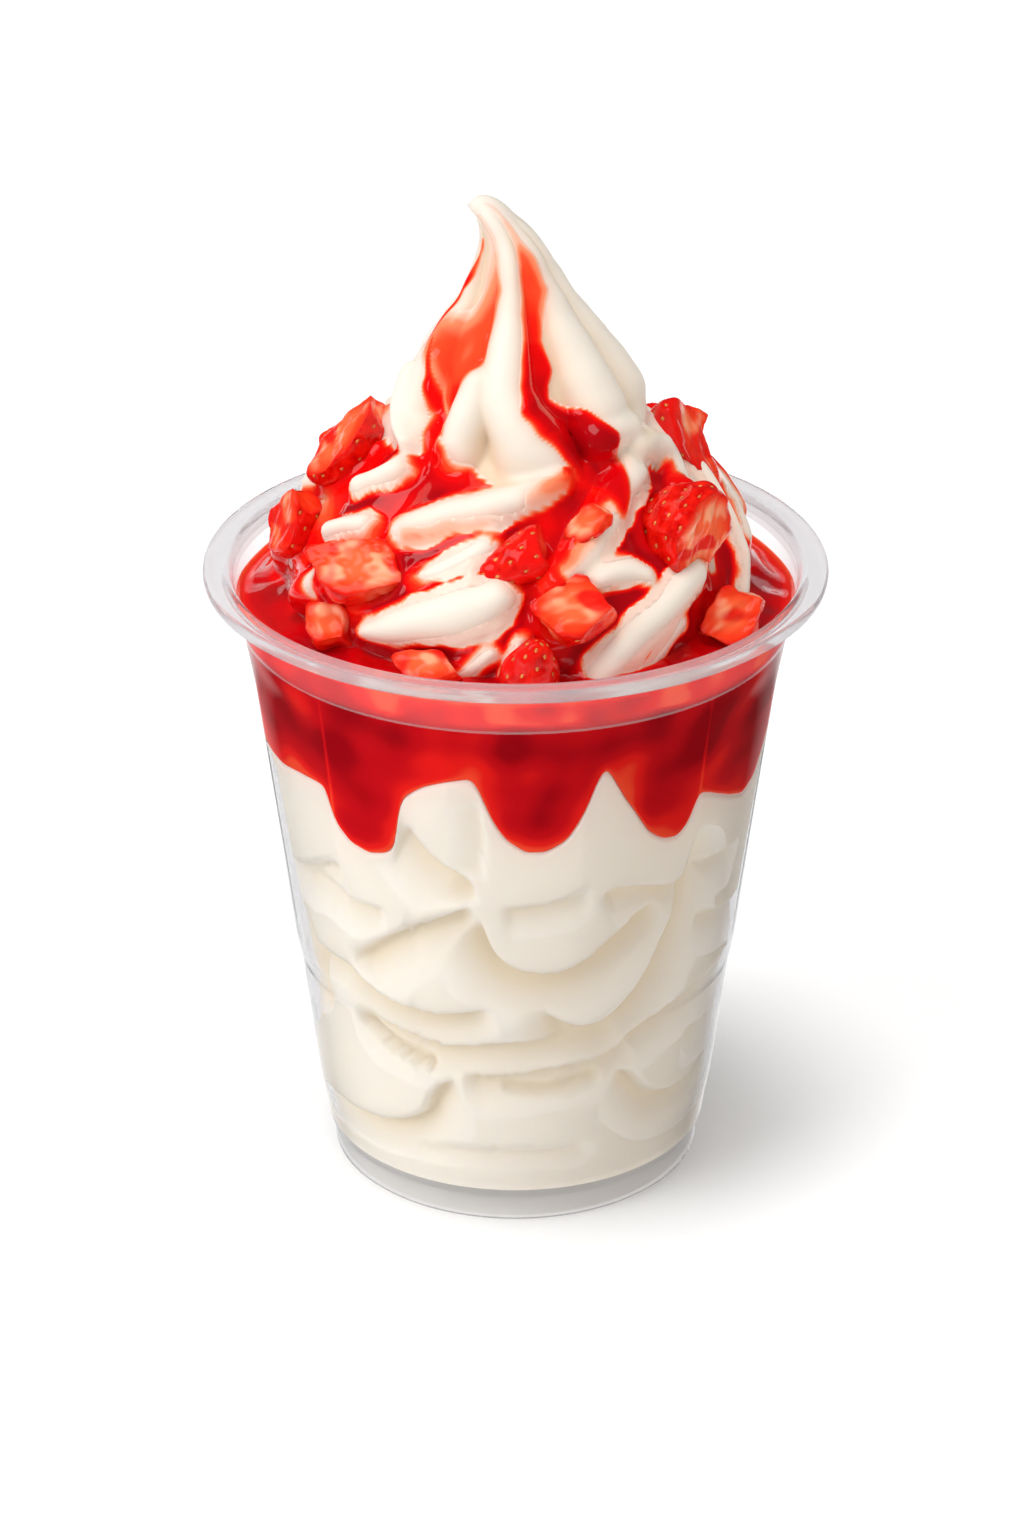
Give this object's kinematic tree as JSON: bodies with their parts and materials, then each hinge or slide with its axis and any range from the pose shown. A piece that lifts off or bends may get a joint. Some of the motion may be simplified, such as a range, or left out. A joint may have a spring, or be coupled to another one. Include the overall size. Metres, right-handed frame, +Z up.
{
  "type": "strawberry sundae cup",
  "caption": "Clear fluted dessert cup filled with folded soft serve that rises to a twisted peak, with strawberry sauce running down in drips and cut strawberries on the mound.",
  "frame": {"origin": "centre of the foot's ring on the table, on the cup's axis", "axes": "+Z up along the cup's axis; -Y is the front, the side that the picture shows; +X is to the right seen from the front"},
  "size_m": [0.0918, 0.0918, 0.1534],
  "materials": {
    "clear_cup": "clear thin plastic, glossy, with pressed flutes",
    "soft_serve": "smooth off-white soft serve with a soft sheen",
    "strawberry_sauce": "glossy red syrup, lighter where it is thin",
    "strawberry": "glazed strawberry, red skin with seeds and paler streaked flesh"
  },
  "bodies": {
    "root": {"cup": "clear_cup", "soft_serve": "soft_serve", "strawberry_sauce": "strawberry_sauce", "strawberry_01": "strawberry", "strawberry_02": "strawberry", "strawberry_03": "strawberry", "strawberry_04": "strawberry", "strawberry_05": "strawberry", "strawberry_06": "strawberry", "strawberry_07": "strawberry", "strawberry_08": "strawberry", "strawberry_09": "strawberry", "strawberry_10": "strawberry", "strawberry_11": "strawberry", "strawberry_12": "strawberry", "strawberry_13": "strawberry", "strawberry_14": "strawberry", "strawberry_15": "strawberry"}
  },
  "joints": []
}
